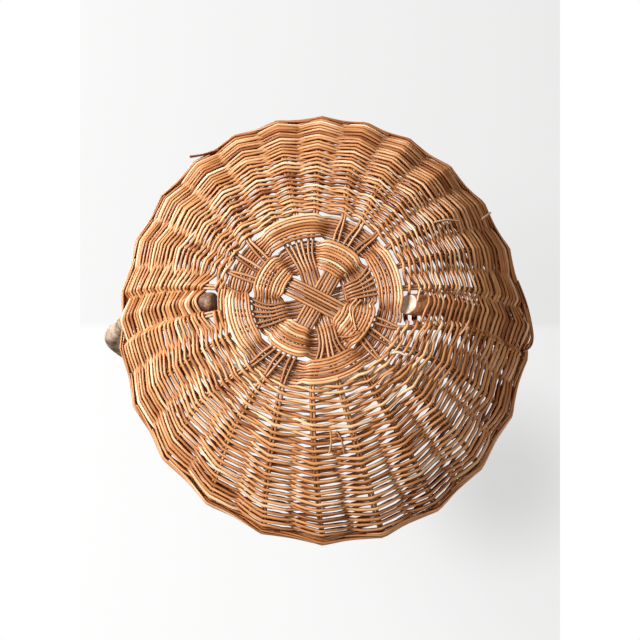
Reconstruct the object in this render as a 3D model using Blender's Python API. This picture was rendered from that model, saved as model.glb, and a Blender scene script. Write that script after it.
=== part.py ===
"""Round willow gathering basket with a fixed branch handle.

Metres, +Z up. The basket stands on its foot at Z 0, the bow of the handle runs along X, and the origin
is the middle of the whole basket's outline seen from above. The bowl is built round its own axis first. A
place on its wall is given by an angle round that axis, the length s along the slope from the edge of the
base, and an offset along the wall's normal, outward positive.
"""
import math

import bmesh
import bpy
from mathutils import Matrix, Vector

# Rods
ROD = 0.00285
GAP = 0.0003
PAIR_WIDTH = 0.0057
BUNDLE_STEP = 0.0060

# Bowl
BASE_RADIUS = 0.080
ROW_PITCH = 0.00595
BAND_ROWS = (5, 5, 5, 5, 5)
RIM_SLOPE = math.radians(60)
SLOPE_POWER_SHARE = 0.55
PROFILE_STEPS = 120
OVAL_SHARE = 0.045
OVAL_ANGLE = math.radians(75)
FOOT_CUT = 0.0005
FOOT_WIDTH = 0.0038
EDGE_STEP = 0.0008

# Stakes
STAKE_COUNT = 24
ARM_COUNT = 8
STAKES_PER_ARM = 3
# Level of each of the four crossed bundles, counted in rods from the level of the arms
BUNDLE_ORDER = (-1, 1, 0, 2)
FIRST_ARM = math.radians(28)
LEAN_MEAN = math.radians(2)
LEAN_SWING = math.radians(7.5)
CROSS_CLEAR = 0.0011
LEVEL_RUN = 0.0085
WALL_STATION = 0.0150
STATION_POWER_SHARE = 1.3

# Base weave
RING_START_GAP = 0.0021
RING_GAP = 0.0020
RING_EDGE_GAP = 0.0015
RING_RODS = 7
ARM_CLEAR = 0.0007
RING_STATION = 0.0075

# Side weave
VALLEY_OFFSET = 0.00015
INNER_OFFSET = 0.0018
RIB_DEPTH = 0.0009
FLUTE_START = 0.014
VALLEY_SHARE = 0.15
# Which of a band's rows have lens gaps after them: every other row of the wall, save where two bands meet
ODD_BAND_GAPS = (1, 3)
EVEN_BAND_GAPS = (2, 4)
BORDER_HEIGHT = 0.0085
BORDER_THICKNESS = 0.0046
BORDER_BULGE = 0.0012
LEG_CLEAR = 0.0010

# Handle
LEG_RADIUS = 0.0090
TIP_RADIUS = 0.0075
TIP_START = 0.0048
TIP_LENGTH = 0.018
LEG_SINK = 0.0030
TIP_LIFT = 0.0035
LIFT_LENGTH = 0.120
TIP_SLANT_SHARE = 0.55
BOW_LEFT = 0.2075
BOW_RIGHT = 0.1830
SHOULDER_HEIGHT = 0.158
BOW_HEIGHT = 0.335
CROWN_RADIUS = 0.0098
HANDLE_SIDES = 10
RIM_HANDLE_SHARE = 0.30
SHOULDER_HANDLE_SHARE = 0.40
SHOULDER_STEPS = 3
ARCH_STEPS = 10

# Ridges gentler than this are shaded round
CREASE = math.radians(50)

STRAND_COLOUR = (0.42, 0.23, 0.10, 1)
STAKE_COLOUR = (0.34, 0.18, 0.08, 1)
BASE_COLOUR = (0.46, 0.27, 0.12, 1)
BARK_COLOUR = (0.16, 0.11, 0.08, 1)
WILLOW_ROUGHNESS = 0.55
BARK_ROUGHNESS = 0.75

WALL_LENGTH = sum(BAND_ROWS) * ROW_PITCH
STAKE_STEP = 2 * math.pi / STAKE_COUNT
ARM_STEP = 2 * math.pi / ARM_COUNT
PAIR_HALF = PAIR_WIDTH / 2
ROD_HALF = ROD / 2
LEVEL_STEP = ROD + GAP
# The rods of two rows stand apart where they pass a stake, by what the row pitch leaves
LENS_HALF = (ROW_PITCH - ROD) / 2

# The bundles lie flat on each other up to CROSS_REACH from the middle and have come level at LEVEL_REACH
CROSS_REACH = (BUNDLE_STEP * (STAKES_PER_ARM // 2) + PAIR_HALF) / math.tan(ARM_STEP / 2) + CROSS_CLEAR
LEVEL_REACH = CROSS_REACH + LEVEL_RUN

# The two rings share the width between the level bundles and the base's edge
INNER_RING_START = LEVEL_REACH + RING_START_GAP
OUTER_RING_END = BASE_RADIUS - RING_EDGE_GAP
RING_WIDTH = (OUTER_RING_END - INNER_RING_START - RING_GAP) / 2


def stake_offset(reach):
    """Offset of the outer strands' inner face over a stake pair, so that it clears the pair's edges.

    reach is half the distance to the next stake; the wall turns by half a stake step at each stake.
    """
    run = reach * (1 - VALLEY_SHARE)
    turn_drop = PAIR_HALF * math.tan(STAKE_STEP / 2)
    clear = ROD_HALF + GAP + turn_drop - VALLEY_OFFSET * PAIR_HALF / run
    return clear / (1 - PAIR_HALF / run)


def arm_angle(arm):
    return FIRST_ARM + arm * ARM_STEP


def stake_angle(arm, place):
    """Angle of a stake on the wall: an even step, leaning a little with the weave."""
    angle = arm_angle(arm) + place * STAKE_STEP
    return angle + LEAN_MEAN - LEAN_SWING * math.cos(angle)


def all_stake_angles():
    places = range(-(STAKES_PER_ARM // 2), STAKES_PER_ARM // 2 + 1)
    return [stake_angle(arm, place) for arm in range(ARM_COUNT) for place in places]


STAKE_ANGLES = all_stake_angles()


def span_angles(index):
    """Angles of stake index and the next one, the second always the larger."""
    first = STAKE_ANGLES[index % STAKE_COUNT]
    second = STAKE_ANGLES[(index + 1) % STAKE_COUNT]
    return first, second + (2 * math.pi if second < first else 0)


def base_level():
    """Height of the stakes in the base: even where they are furthest apart, the foot is cut by FOOT_CUT."""
    widest = max(second - first for first, second in map(span_angles, range(STAKE_COUNT)))
    return stake_offset(BASE_RADIUS * math.sin(widest / 2)) + ROD - FOOT_CUT


BASE_LEVEL = base_level()


def slope_at(s):
    """The wall's slope: level at the base's edge, steepest at the rim."""
    share = min(max(s / WALL_LENGTH, 0), 1)
    return RIM_SLOPE * share ** SLOPE_POWER_SHARE


def profile(s):
    """Radius and height of the wall's middle surface at length s from the base's edge."""
    radius = BASE_RADIUS
    height = BASE_LEVEL
    step = s / PROFILE_STEPS
    for number in range(PROFILE_STEPS):
        slope = slope_at((number + 0.5) * step)
        radius += math.cos(slope) * step
        height += math.sin(slope) * step
    return radius, height


def oval(x, y, s):
    """Makes the rim a little longer one way than the other: it is round at the base and oval at the rim."""
    pull = OVAL_SHARE * min(max(s / WALL_LENGTH, 0), 1)
    long_x, long_y = math.cos(OVAL_ANGLE), math.sin(OVAL_ANGLE)
    long_part = (x * long_x + y * long_y) * (1 + pull)
    short_part = (y * long_x - x * long_y) * (1 - pull)
    return long_part * long_x - short_part * long_y, long_part * long_y + short_part * long_x


def wall_point(angle, s, offset=0.0):
    """A point of the wall at an angle, a slope length and a normal offset."""
    radius, height = profile(s)
    slope = slope_at(s)
    radius += math.sin(slope) * offset
    height -= math.cos(slope) * offset
    x, y = oval(radius * math.cos(angle), radius * math.sin(angle), s)
    return Vector((x, y, height))


def wall_normal(angle, s):
    """Outward normal of the wall."""
    slope = slope_at(s)
    return Vector((math.sin(slope) * math.cos(angle), math.sin(slope) * math.sin(angle), -math.cos(slope)))


def span_point(index, s, aside=0.0, offset=0.0):
    """A point aside from the middle of the straight line between two stakes, and offset from that line."""
    first, second = span_angles(index)
    start, end = wall_point(first, s), wall_point(second, s)
    return (start + end) / 2 + (end - start).normalized() * aside + wall_normal((first + second) / 2, s) * offset


def half_span(index, s):
    first, second = span_angles(index)
    return (wall_point(first, s) - wall_point(second, s)).length / 2


# The handle's legs run midway between two stakes on either side
RIGHT_LEG_SPAN = max(range(STAKE_COUNT), key=lambda index: span_point(index, 0).x)
LEFT_LEG_SPAN = min(range(STAKE_COUNT), key=lambda index: span_point(index, 0).x)
LEG_SPANS = (RIGHT_LEG_SPAN, LEFT_LEG_SPAN)


def leg_offset(s):
    """How far a leg's centre stands off the wall's middle: inside it, and further in at its tip."""
    share = 1 - min(max(s, TIP_START) / LIFT_LENGTH, 1)
    return -LEG_SINK - TIP_LIFT * share * share


def leg_radius(s):
    share = min(max((s - TIP_START) / TIP_LENGTH, 0), 1)
    return TIP_RADIUS + (LEG_RADIUS - TIP_RADIUS) * share


def over_leg(index, s, side, stake_face):
    """Where a strand bends over a leg: level with the leg's top, and sloping from there to both stakes.

    side is 1 outside the leg and -1 inside it, and stake_face is the strand's offset at the stakes. The
    sloping stretch and the level one both touch a circle that stands clear of the leg.
    """
    clear = leg_radius(s) + LEG_CLEAR
    reach = half_span(index, s)
    rise = side * (stake_face - leg_offset(s))
    touch = math.atan2(rise, reach) + math.acos(min(clear / math.hypot(reach, rise), 1))
    bend = (math.pi / 2 - touch) / 2
    aside = clear * math.tan(bend)
    offset = leg_offset(s) + side * clear
    return [(-aside, offset), (aside, offset)]


def outer_face_offsets(index, s):
    """Offset of the outer strands' inner face at stake index, and its bends before the next stake."""
    ridge = stake_offset(half_span(index, s))
    if index in LEG_SPANS:
        return ridge, over_leg(index, s, 1, ridge)
    fade = min(max((s - FOOT_WIDTH) / FLUTE_START, 0), 1)
    return ridge, valley(index, s, ridge + (VALLEY_OFFSET - ridge) * fade)


def valley(index, s, offset):
    """The two bends of a strand midway between stakes, at one offset."""
    aside = half_span(index, s) * VALLEY_SHARE
    return [(-aside, offset), (aside, offset)]


def inner_face_offsets(index, s):
    """The same for the inner strands' outer face."""
    if index in LEG_SPANS:
        return -INNER_OFFSET, over_leg(index, s, -1, -INNER_OFFSET)
    return -INNER_OFFSET, valley(index, s, -INNER_OFFSET)


def ring_points(indices, s, offsets, extra, closed, lens=0.0):
    """Points round the wall at s: a stake, then the bends before the next stake, and so on.

    lens moves the points at the stakes along the slope, save at the two ends of an open arc.
    """
    points = []
    for number, index in enumerate(indices):
        at_stake, bends = offsets(index, s)
        shift = lens if closed or 0 < number < len(indices) - 1 else 0
        points.append(wall_point(STAKE_ANGLES[index], s + shift, at_stake + extra))
        if closed or number < len(indices) - 1:
            points += [span_point(index, s, aside, offset + extra) for aside, offset in bends]
    return points


def stations(start, end, step):
    """Evenly spaced slope lengths from start to end, about step apart."""
    count = max(1, round((end - start) / step))
    return [start + (end - start) * number / count for number in range(count + 1)]


def curve_stations(end):
    """Slope lengths from 0 to end, closer together near the base, where the wall curves most."""
    count = max(1, round(end / WALL_STATION))
    return [end * (number / count) ** STATION_POWER_SHARE for number in range(count + 1)]


def new_material(name, colour, roughness):
    material = bpy.data.materials.new(name)
    material.use_nodes = True
    shader = material.node_tree.nodes["Principled BSDF"]
    shader.inputs["Base Color"].default_value = colour
    shader.inputs["Roughness"].default_value = roughness
    material.diffuse_color = colour
    return material


def add_solid(name, body, material):
    """One object from a closed body, a pair of points and faces."""
    points, faces = body
    mesh = bpy.data.meshes.new(name)
    shape = bmesh.new()
    corners = [shape.verts.new(point) for point in points]
    for face in faces:
        shape.faces.new([corners[number] for number in face])
    bmesh.ops.recalc_face_normals(shape, faces=shape.faces)
    shape.to_mesh(mesh)
    shape.free()
    mesh.materials.append(material)
    mesh.shade_smooth()
    mesh.set_sharp_from_angle(angle=CREASE)
    bpy.context.scene.collection.objects.link(bpy.data.objects.new(name, mesh))


def grid_faces(rows, columns, wrap, first=0):
    """Quads over a grid of points, joined round the columns if wrap is set."""
    faces = []
    for row in range(rows - 1):
        for column in range(columns if wrap else columns - 1):
            after = (column + 1) % columns
            near = first + row * columns
            far = near + columns
            faces.append((near + column, near + after, far + after, far + column))
    return faces


def shell_body(front_rows, back_rows, wrap):
    """A closed shell between two grids that share their first and last rows' places."""
    columns = len(front_rows[0])
    points = [point for row in front_rows + back_rows for point in row]
    back = len(front_rows) * columns
    faces = grid_faces(len(front_rows), columns, wrap)
    faces += grid_faces(len(back_rows), columns, wrap, back)
    front_end = (len(front_rows) - 1) * columns
    back_end = back + (len(back_rows) - 1) * columns
    for column in range(columns if wrap else columns - 1):
        after = (column + 1) % columns
        faces.append((column, after, back + after, back + column))
        faces.append((front_end + column, front_end + after, back_end + after, back_end + column))
    if not wrap:
        for column in (0, columns - 1):
            front = [row * columns + column for row in range(len(front_rows))]
            behind = [back + row * columns + column for row in range(len(back_rows))]
            faces.append(front + behind[::-1])
    return points, faces


def lens_line(indices, s, offsets, extra, closed, opening):
    """The two edges of a line round the wall, which part at the stakes where the line has openings."""
    half = LENS_HALF if opening else 0
    return [ring_points(indices, s, offsets, extra, closed, lens) for lens in (-half, half)]


def add_lines(lines, points):
    """Adds the points of lines, and gives for each line the numbers of its near and far edges."""
    edges = []
    for near_row, far_row in lines:
        near, far = [], []
        for near_point, far_point in zip(near_row, far_row):
            near.append(len(points))
            points.append(near_point)
            if (far_point - near_point).length > 0:
                points.append(far_point)
            far.append(len(points) - 1)
        edges.append((near, far))
    return edges


def lens_shell(front_lines, back_lines, wrap):
    """A closed shell between two faces, with openings through it where the edges of their lines part.

    Both faces have the same lines with openings, in the same order.
    """
    points, faces = [], []
    front = add_lines(front_lines, points)
    back = add_lines(back_lines, points)
    columns = len(front[0][0])
    last = columns if wrap else columns - 1
    strips = [(low[1], high[0]) for face in (front, back) for low, high in zip(face, face[1:])]
    strips += [(front[0][0], back[0][0]), (front[-1][1], back[-1][1])]
    for low, high in strips:
        for column in range(last):
            after = (column + 1) % columns
            faces.append((low[column], low[after], high[after], high[column]))
    open_front = [line for line in front if line[0] != line[1]]
    open_back = [line for line in back if line[0] != line[1]]
    for (near, far), (near_back, far_back) in zip(open_front, open_back):
        for column in range(columns):
            if near[column] == far[column]:
                continue
            for side in (column - 1, (column + 1) % columns):
                faces.append((near[side], near[column], near_back[column], near_back[side]))
                faces.append((near[side], far[column], far_back[column], near_back[side]))
    if not wrap:
        for column in (0, columns - 1):
            faces.append([line[0][column] for line in front] + [line[0][column] for line in back][::-1])
    return points, faces


def tube_body(rings):
    """A closed body along rings of points, one ring for each end and each step between."""
    sides = len(rings[0])
    last = (len(rings) - 1) * sides
    faces = grid_faces(len(rings), sides, True)
    faces += [tuple(range(sides)), tuple(range(last, last + sides))]
    return [point for ring in rings for point in ring], faces


def strip_body(points, normals, width, thickness):
    """A flat strip along points, its faces square to the normals."""
    rings = []
    for number, point in enumerate(points):
        before = points[max(number - 1, 0)]
        behind = points[min(number + 1, len(points) - 1)]
        across = normals[number].cross(behind - before).normalized() * (width / 2)
        up = normals[number] * (thickness / 2)
        rings.append([point - across - up, point + across - up, point + across + up, point - across + up])
    return tube_body(rings)


def stake_half(arm, place):
    """Half a stake pair's path, from where it crosses the middle of the base up to the rim."""
    along = Vector((math.cos(arm_angle(arm)), math.sin(arm_angle(arm)), 0))
    across = Vector((-along.y, along.x, 0))
    down = Vector((0, 0, -1))
    side = across * (place * BUNDLE_STEP)
    crossing = Vector((0, 0, BASE_LEVEL + BUNDLE_ORDER[arm % len(BUNDLE_ORDER)] * LEVEL_STEP))
    level = Vector((0, 0, BASE_LEVEL))
    points = [along * CROSS_REACH + side + crossing, along * LEVEL_REACH + side + level]
    normals = [down, down]
    angle = stake_angle(arm, place)
    for s in curve_stations(WALL_LENGTH + BORDER_HEIGHT / 2):
        points.append(wall_point(angle, s))
        normals.append(wall_normal(angle, s))
    return points, normals


def add_stakes(material):
    """Twelve stake pairs, each from rim to rim through the middle of the base."""
    number = 0
    for arm in range(ARM_COUNT // 2):
        for place in range(-(STAKES_PER_ARM // 2), STAKES_PER_ARM // 2 + 1):
            number += 1
            near, near_normals = stake_half(arm, place)
            far, far_normals = stake_half(arm + ARM_COUNT // 2, -place)
            body = strip_body(near[::-1] + far, near_normals[::-1] + far_normals, PAIR_WIDTH, ROD)
            add_solid(f"stake_pair_{number:02d}", body, material)


def fan_edges(arm, radius):
    """The angles between which an arm's three stake pairs lie at a radius."""
    centre = arm_angle(arm)
    edges = []
    for place in (-(STAKES_PER_ARM // 2), STAKES_PER_ARM // 2):
        start_u, start_v = LEVEL_REACH, place * BUNDLE_STEP
        turn = stake_angle(arm, place) - centre
        end_u, end_v = BASE_RADIUS * math.cos(turn), BASE_RADIUS * math.sin(turn)
        run = Vector((end_u - start_u, end_v - start_v))
        start = Vector((start_u, start_v))
        # the point of the stake's line that lies at the radius
        along = run.normalized()
        middle = start.dot(along)
        reach = -middle + math.sqrt(max(middle * middle - start.length_squared + radius * radius, 0))
        point = start + along * reach
        lean = abs(math.atan2(along.y, along.x) - math.atan2(point.y, point.x))
        half = (PAIR_HALF / math.cos(lean) + ARM_CLEAR) / radius
        edges.append(centre + math.atan2(point.y, point.x) + math.copysign(half, place))
    return edges


def ring_row(radius, low_arms, lift):
    """Points of a base ring at a radius: below the low arms, above the others, sloping between."""
    points = []
    for arm in range(ARM_COUNT):
        level = -LEVEL_STEP if arm % 2 in low_arms else LEVEL_STEP
        for edge in fan_edges(arm, radius):
            points.append(Vector((radius * math.cos(edge), radius * math.sin(edge), BASE_LEVEL + level + lift)))
    return points


def add_base_ring(name, inner, low_arms, material):
    """A flat ring of base weave from an inner radius out, with a rib for each rod on its lower face."""
    rod_width = RING_WIDTH / RING_RODS
    lower = []
    for number in range(2 * RING_RODS + 1):
        half = ROD_HALF - (0 if number % 2 else RIB_DEPTH)
        lower.append(ring_row(inner + number * rod_width / 2, low_arms, -half))
    upper = [ring_row(radius, low_arms, ROD_HALF) for radius in stations(inner, inner + RING_WIDTH, RING_STATION)]
    add_solid(name, shell_body(lower, upper, True), material)


def clamp_to_floor(rows):
    """Cuts the foot flat at Z 0."""
    for row in rows:
        for point in row:
            point.z = max(point.z, 0)
    return rows


def rib_stations(start, end, rows, gaps):
    """Slope length and depth of each groove and ridge of a band, and whether the groove has lens gaps."""
    pitch = (end - start) / rows
    marks = []
    for number in range(2 * rows + 1):
        row, between = divmod(number, 2)
        marks.append((start + number * pitch / 2, 0 if between else RIB_DEPTH, not between and row in gaps))
    return marks


def band_lines(marks):
    """The marks that a smooth face needs: its two edges, and the grooves with lens gaps."""
    return [marks[0]] + [mark for mark in marks if mark[2]] + [marks[-1]]


def outer_band(indices, marks, closed):
    """A closed body of outer strands over the given stakes, ribbed by its rows."""
    front = [lens_line(indices, s, outer_face_offsets, ROD - (depth if s > FOOT_WIDTH else 0), closed, gap)
             for s, depth, gap in marks]
    back = [lens_line(indices, s, outer_face_offsets, 0, closed, gap) for s, depth, gap in band_lines(marks)]
    for line in front:
        clamp_to_floor(line)
    return lens_shell(front, back, closed)


def inner_band(marks):
    """A closed ring of inner strands."""
    everywhere = range(STAKE_COUNT)
    front = [lens_line(everywhere, s, inner_face_offsets, 0, True, gap) for s, depth, gap in marks]
    back = [lens_line(everywhere, s, inner_face_offsets, -ROD, True, gap) for s, depth, gap in marks]
    return lens_shell(front, back, True)


def stakes_between(first_span, last_span):
    """The stakes from one leg round to the other."""
    count = (last_span - first_span) % STAKE_COUNT
    return [(first_span + 1 + step) % STAKE_COUNT for step in range(count)]


def add_side_weave(material):
    """Bands of outer and inner strands; the lowest outer band stops short of the legs' tips."""
    first_arc = stakes_between(RIGHT_LEG_SPAN, LEFT_LEG_SPAN)
    second_arc = stakes_between(LEFT_LEG_SPAN, RIGHT_LEG_SPAN)
    start = EDGE_STEP
    for number, rows in enumerate(BAND_ROWS, 1):
        end = sum(BAND_ROWS[:number]) * ROW_PITCH
        marks = rib_stations(start, end, rows, ODD_BAND_GAPS if number % 2 else EVEN_BAND_GAPS)
        if number == 1:
            foot = [(max(s, FOOT_WIDTH) if place == 1 else s, depth, gap)
                    for place, (s, depth, gap) in enumerate(marks)]
            add_solid("outer_strands_1_front", outer_band(first_arc, foot, False), material)
            add_solid("outer_strands_1_back", outer_band(second_arc, foot, False), material)
        else:
            add_solid(f"outer_strands_{number}", outer_band(range(STAKE_COUNT), marks, True), material)
        add_solid(f"inner_strands_{number}", inner_band(band_lines(marks)), material)
        start = end + GAP


def one_bend(offsets):
    """The same offsets, with one bend midway between two stakes in place of a valley's two."""
    def simple(index, s):
        at_stake, bends = offsets(index, s)
        return at_stake, bends if index in LEG_SPANS else [(0, bends[0][1])]
    return simple


def border_body(offsets, side):
    """Half of the border: a thick rounded ring outside or inside the stakes' ends."""
    offsets = one_bend(offsets)
    start = WALL_LENGTH + GAP
    end = WALL_LENGTH + BORDER_HEIGHT
    middle = (start + end) / 2
    everywhere = range(STAKE_COUNT)
    plain = BORDER_THICKNESS - BORDER_BULGE
    front = [ring_points(everywhere, s, offsets, 0, True) for s in (start, end)]
    back = [ring_points(everywhere, s, offsets, side * thickness, True)
            for s, thickness in ((start, plain), (middle, BORDER_THICKNESS), (end, plain))]
    return shell_body(front, back, True)


def add_border(material):
    add_solid("border_outer", border_body(outer_face_offsets, 1), material)
    add_solid("border_inner", border_body(inner_face_offsets, -1), material)


def bezier(start, start_pull, end_pull, end, share):
    rest = 1 - share
    return (start * rest ** 3 + start_pull * 3 * rest * rest * share
            + end_pull * 3 * rest * share * share + end * share ** 3)


def leg_path(index):
    """Centre and radius of a leg from its tip to the rim."""
    path = []
    for s in stations(TIP_START, WALL_LENGTH + BORDER_HEIGHT, WALL_STATION):
        path.append((span_point(index, s, offset=leg_offset(s)), leg_radius(s)))
    return path


def bow_side(index, sign, half_width):
    """Centres and radii of one side of the handle, from the leg's tip to the crown."""
    path = leg_path(index)
    rim = path[-1][0]
    direction = (rim - path[-2][0]).normalized()
    shoulder = Vector((sign * half_width, 0, SHOULDER_HEIGHT))
    rise = shoulder.z - rim.z
    rim_pull = rim + direction * rise * RIM_HANDLE_SHARE
    shoulder_pull = shoulder - Vector((0, 0, rise * SHOULDER_HANDLE_SHARE))
    for step in range(1, SHOULDER_STEPS + 1):
        point = bezier(rim, rim_pull, shoulder_pull, shoulder, step / SHOULDER_STEPS)
        path.append((point, LEG_RADIUS))
    crown_x = (BOW_RIGHT - BOW_LEFT) / 2
    reach = shoulder.x - crown_x
    for step in range(1, ARCH_STEPS + 1):
        share = step / ARCH_STEPS
        turn = share * math.pi / 2
        point = Vector((crown_x + reach * math.cos(turn), 0,
                        SHOULDER_HEIGHT + (BOW_HEIGHT - CROWN_RADIUS - SHOULDER_HEIGHT) * math.sin(turn)))
        path.append((point, LEG_RADIUS + (CROWN_RADIUS - LEG_RADIUS) * share))
    return path


def add_handle(material):
    """The bent branch: a round bar along the two sides of the bow, its tips cut at a slant."""
    right = bow_side(RIGHT_LEG_SPAN, 1, BOW_RIGHT)
    left = bow_side(LEFT_LEG_SPAN, -1, BOW_LEFT)
    path = right + left[-2::-1]
    sideways = Vector((0, 1, 0))
    rings = []
    for number, (centre, radius) in enumerate(path):
        before = path[max(number - 1, 0)][0]
        after = path[min(number + 1, len(path) - 1)][0]
        along = (after - before).normalized()
        out = along.cross(sideways)
        at_tip = number in (0, len(path) - 1)
        inward = along if number == 0 else -along
        ring = []
        for side in range(HANDLE_SIDES):
            turn = 2 * math.pi * side / HANDLE_SIDES
            arm = sideways * math.cos(turn) * radius + out * math.sin(turn) * radius
            slant = inward * (-arm.z * TIP_SLANT_SHARE) if at_tip else Vector((0, 0, 0))
            ring.append(centre + arm + slant)
        rings.append(ring)
    add_solid("handle_bow", tube_body(rings), material)


def centre_outline():
    """Moves every piece alike, so that the origin is the middle of the outline seen from above."""
    meshes = [piece.data for piece in bpy.data.objects]
    corners = [vertex.co for mesh in meshes for vertex in mesh.vertices]
    middle_x = (min(corner.x for corner in corners) + max(corner.x for corner in corners)) / 2
    middle_y = (min(corner.y for corner in corners) + max(corner.y for corner in corners)) / 2
    for mesh in meshes:
        mesh.transform(Matrix.Translation((-middle_x, -middle_y, 0)))


def build():
    for old in list(bpy.data.objects):
        bpy.data.objects.remove(old)
    strands = new_material("willow_strands", STRAND_COLOUR, WILLOW_ROUGHNESS)
    stakes = new_material("willow_stakes", STAKE_COLOUR, WILLOW_ROUGHNESS)
    base = new_material("willow_base", BASE_COLOUR, WILLOW_ROUGHNESS)
    bark = new_material("branch_bark", BARK_COLOUR, BARK_ROUGHNESS)
    add_stakes(stakes)
    add_base_ring("base_inner_ring", INNER_RING_START, (0,), base)
    add_base_ring("base_outer_ring", OUTER_RING_END - RING_WIDTH, (1,), base)
    add_side_weave(strands)
    add_border(strands)
    add_handle(bark)
    centre_outline()


build()
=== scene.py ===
import math
import random

import bpy
from mathutils import Matrix, Vector
from mathutils import noise


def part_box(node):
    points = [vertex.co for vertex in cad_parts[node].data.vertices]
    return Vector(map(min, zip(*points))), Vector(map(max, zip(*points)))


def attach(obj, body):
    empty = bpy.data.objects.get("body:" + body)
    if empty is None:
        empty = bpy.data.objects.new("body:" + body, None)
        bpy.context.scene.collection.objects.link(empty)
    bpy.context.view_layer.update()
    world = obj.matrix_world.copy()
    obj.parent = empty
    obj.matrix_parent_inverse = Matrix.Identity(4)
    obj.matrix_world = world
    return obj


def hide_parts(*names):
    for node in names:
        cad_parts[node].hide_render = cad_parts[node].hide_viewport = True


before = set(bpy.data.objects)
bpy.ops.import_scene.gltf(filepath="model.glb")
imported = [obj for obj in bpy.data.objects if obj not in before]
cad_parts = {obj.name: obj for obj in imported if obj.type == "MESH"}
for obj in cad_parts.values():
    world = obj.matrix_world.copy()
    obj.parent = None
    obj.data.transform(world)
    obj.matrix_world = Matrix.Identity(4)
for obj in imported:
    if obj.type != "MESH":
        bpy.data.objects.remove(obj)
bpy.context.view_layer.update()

# Bowl, as the solids have it. A place on the wall is an angle round the base's axis, the length s along the
# slope from the base's edge, and an offset along the wall's normal, outward positive.
ROD = 0.00285
GAP = 0.0003
BUNDLE_STEP = 0.0060
BASE_RADIUS = 0.080
BASE_LEVEL = 0.00523
WALL_LENGTH = 0.14875
RIM_SLOPE = math.radians(60)
SLOPE_POWER_SHARE = 0.55
OVAL_SHARE = 0.045
OVAL_ANGLE = math.radians(75)
BORDER_HEIGHT = 0.0085
PROFILE_STEP = 0.00025
PROFILE_REACH = 0.170

# Stakes
STAKE_COUNT = 24
ARM_COUNT = 8
BUNDLE_ORDER = (-1, 1, 0, 2)
FIRST_ARM = math.radians(28)
LEAN_MEAN = math.radians(2)
LEAN_SWING = math.radians(7.5)
NARROW_LEAN = math.radians(2.6)
NARROW_STEP = math.radians(11.8)
SPREAD_LENGTH = 0.075
CROSS_REACH = 0.0225
CROSS_ASIDE = (0.0036, 0.0012)
LEVEL_REACH = 0.0310
STRAIGHT_REACH = 0.0440
STRAIGHT_SHARE = 1.25
FAN_REACH = 0.0640
FAN_SPREAD = 0.0014
STAKE_RADIUS = 0.00140
STAKE_SPREAD = 0.00142
STAKE_STATION = 0.004
STAKE_CLIMB = 0.0125
STAKE_SWAY = 0.0007
STAKE_BOW = 0.0002

# Base weave
INNER_RING = (0.0272, 0.0560)
OUTER_RING = (0.0568, 0.0795)
INNER_RING_GAIN = 2.0
OUTER_RING_GAIN = 2.6
RING_PITCH = 0.00285
RING_ROD = 0.00142
RING_SQUEEZE = 0.24
EDGE_TONE = 0.12
# depth of a ring where it passes behind the stakes, for the painted shade in the finish
RING_BEHIND = -0.6
EDGE_TURNS = 1.8
RING_STATION = math.radians(4)
RING_SWAY = 0.0006
RING_BOW = 0.0003

# Side weave
ROWS = 25
BAND_ROWS = 5
FIRST_ROW = 0.0020
ROW_PITCH = 0.00590
WEAVE_DEPTH = 0.0031
WEAVE_TWIST = 0.00150
ROD_CLEAR = 0.0002
LOWEST_ROW = 0.0012
ROW_SWAYS = (0.0022, 0.0010)
ROD_SWAYS = (0.0010, 0.0007)
ROD_BOW = 0.0004
THIN_ROD = 0.00150
THICK_ROD = 0.00160
CROWD_SHARE = 0.13
CROWD_ANGLE = math.radians(235)
POINTED_SHARE = 0.6
LATE_SHARE = 0.85
LATE_ROWS = (6, 15)
SPAN_SHARES = (0, 0.05, 0.12, 0.23, 0.34, 0.42, 0.5, 0.58, 0.66, 0.77, 0.88, 0.95)
LEG_ROW = 2
RIGHT_PUSH = 0.0075
LEFT_PUSH = 0.0155
PUSH_START = 0.0095
PUSH_END = 0.065
PUSH_WIDTH = 0.027
PUSH_ROUND = 0.0012

# Handle
LEG_RADIUS = 0.0090
TIP_RADIUS = 0.0094
PARED_RADIUS = 0.0068
PARED_START = 0.024
RIM_SWELL = 0.132
SWELL_LENGTH = 0.016
TIP_START = 0.0048
LEG_ASIDE_SHARE = 0.12
LEG_SINK = 0.0030
TIP_LIFT = 0.0035
LIFT_LENGTH = 0.120
BOW_LEFT = 0.2075
BOW_RIGHT = 0.1795
SHOULDER_HEIGHT = 0.158
BOW_HEIGHT = 0.335
CROWN_RADIUS = 0.0098
RIM_HANDLE_SHARE = 0.30
SHOULDER_HANDLE_SHARE = 0.40

STAKE_STEP = 2 * math.pi / STAKE_COUNT
ARM_STEP = 2 * math.pi / ARM_COUNT
LEVEL_STEP = ROD + GAP

# The base's axis is the middle of the round border
BORDER_LOW, BORDER_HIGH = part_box("border_outer")
CENTRE = Vector(((BORDER_LOW[0] + BORDER_HIGH[0]) / 2, (BORDER_LOW[1] + BORDER_HIGH[1]) / 2, 0))


def clamp(value, low=0.0, high=1.0):
    return min(max(value, low), high)


def blend(start, end, share):
    return start + (end - start) * share


def slope_at(s):
    return RIM_SLOPE * clamp(s / WALL_LENGTH) ** SLOPE_POWER_SHARE


def make_profile():
    """Radius and height of the wall's middle surface at even slope lengths."""
    radius, height = BASE_RADIUS, BASE_LEVEL
    table = [(radius, height)]
    for number in range(math.ceil(PROFILE_REACH / PROFILE_STEP)):
        slope = slope_at((number + 0.5) * PROFILE_STEP)
        radius += math.cos(slope) * PROFILE_STEP
        height += math.sin(slope) * PROFILE_STEP
        table.append((radius, height))
    return table


PROFILE = make_profile()


def profile(s):
    place = clamp(s / PROFILE_STEP, 0, len(PROFILE) - 2)
    number = int(place)
    near, far = PROFILE[number], PROFILE[number + 1]
    share = place - number
    return blend(near[0], far[0], share), blend(near[1], far[1], share)


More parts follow.
